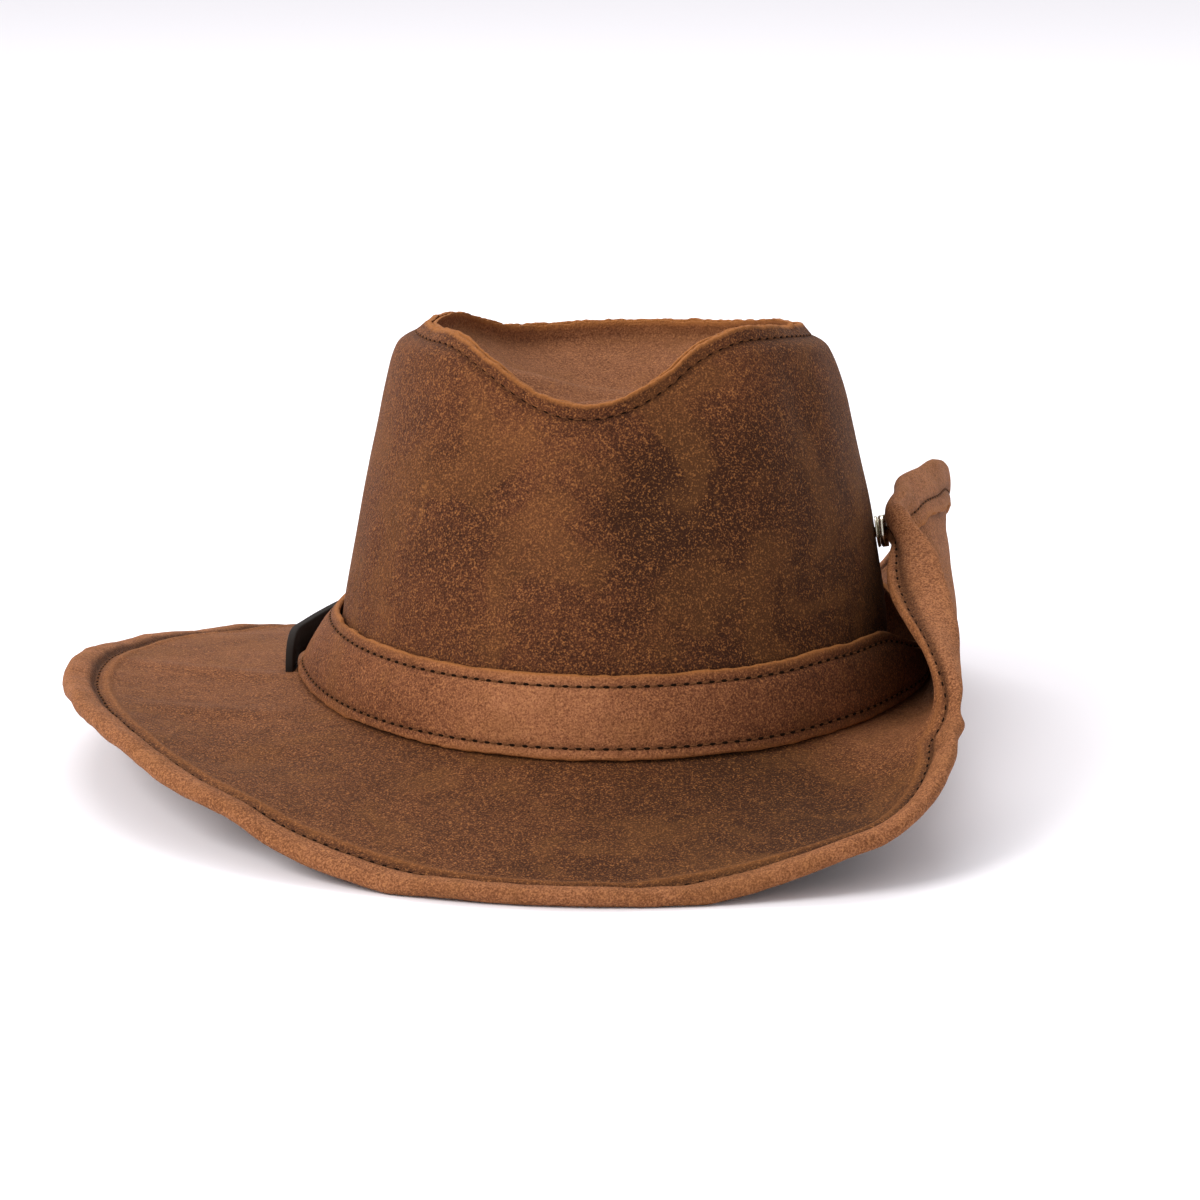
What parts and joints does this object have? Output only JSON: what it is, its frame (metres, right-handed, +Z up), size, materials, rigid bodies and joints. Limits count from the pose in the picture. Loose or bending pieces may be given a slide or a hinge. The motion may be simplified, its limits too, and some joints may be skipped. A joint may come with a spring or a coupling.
{
  "type": "bush hat",
  "caption": "Leather bush hat with a pinched crown, a plain band, a chin strap and a wide brim turned up and snapped on one side.",
  "frame": {"origin": "on the surface that the hat rests on, under the middle of its outline", "axes": "+Z up, -Y the front of the hat, +X the side that is turned up"},
  "size_m": [0.2834, 0.359, 0.1425],
  "materials": {
    "brim": "waxed, nappy",
    "crown_side": "waxed, nappy",
    "crown_tip": "waxed, nappy",
    "hat_band": "nappy",
    "chin_strap": "smooth black",
    "snap_socket": "pale polished",
    "snap_stud": "pale polished"
  },
  "bodies": {
    "root": {"brim": "brim", "crown_side": "crown_side", "crown_tip": "crown_tip", "hat_band": "hat_band", "chin_strap": "chin_strap", "snap_socket": "snap_socket", "snap_stud": "snap_stud"}
  },
  "joints": []
}
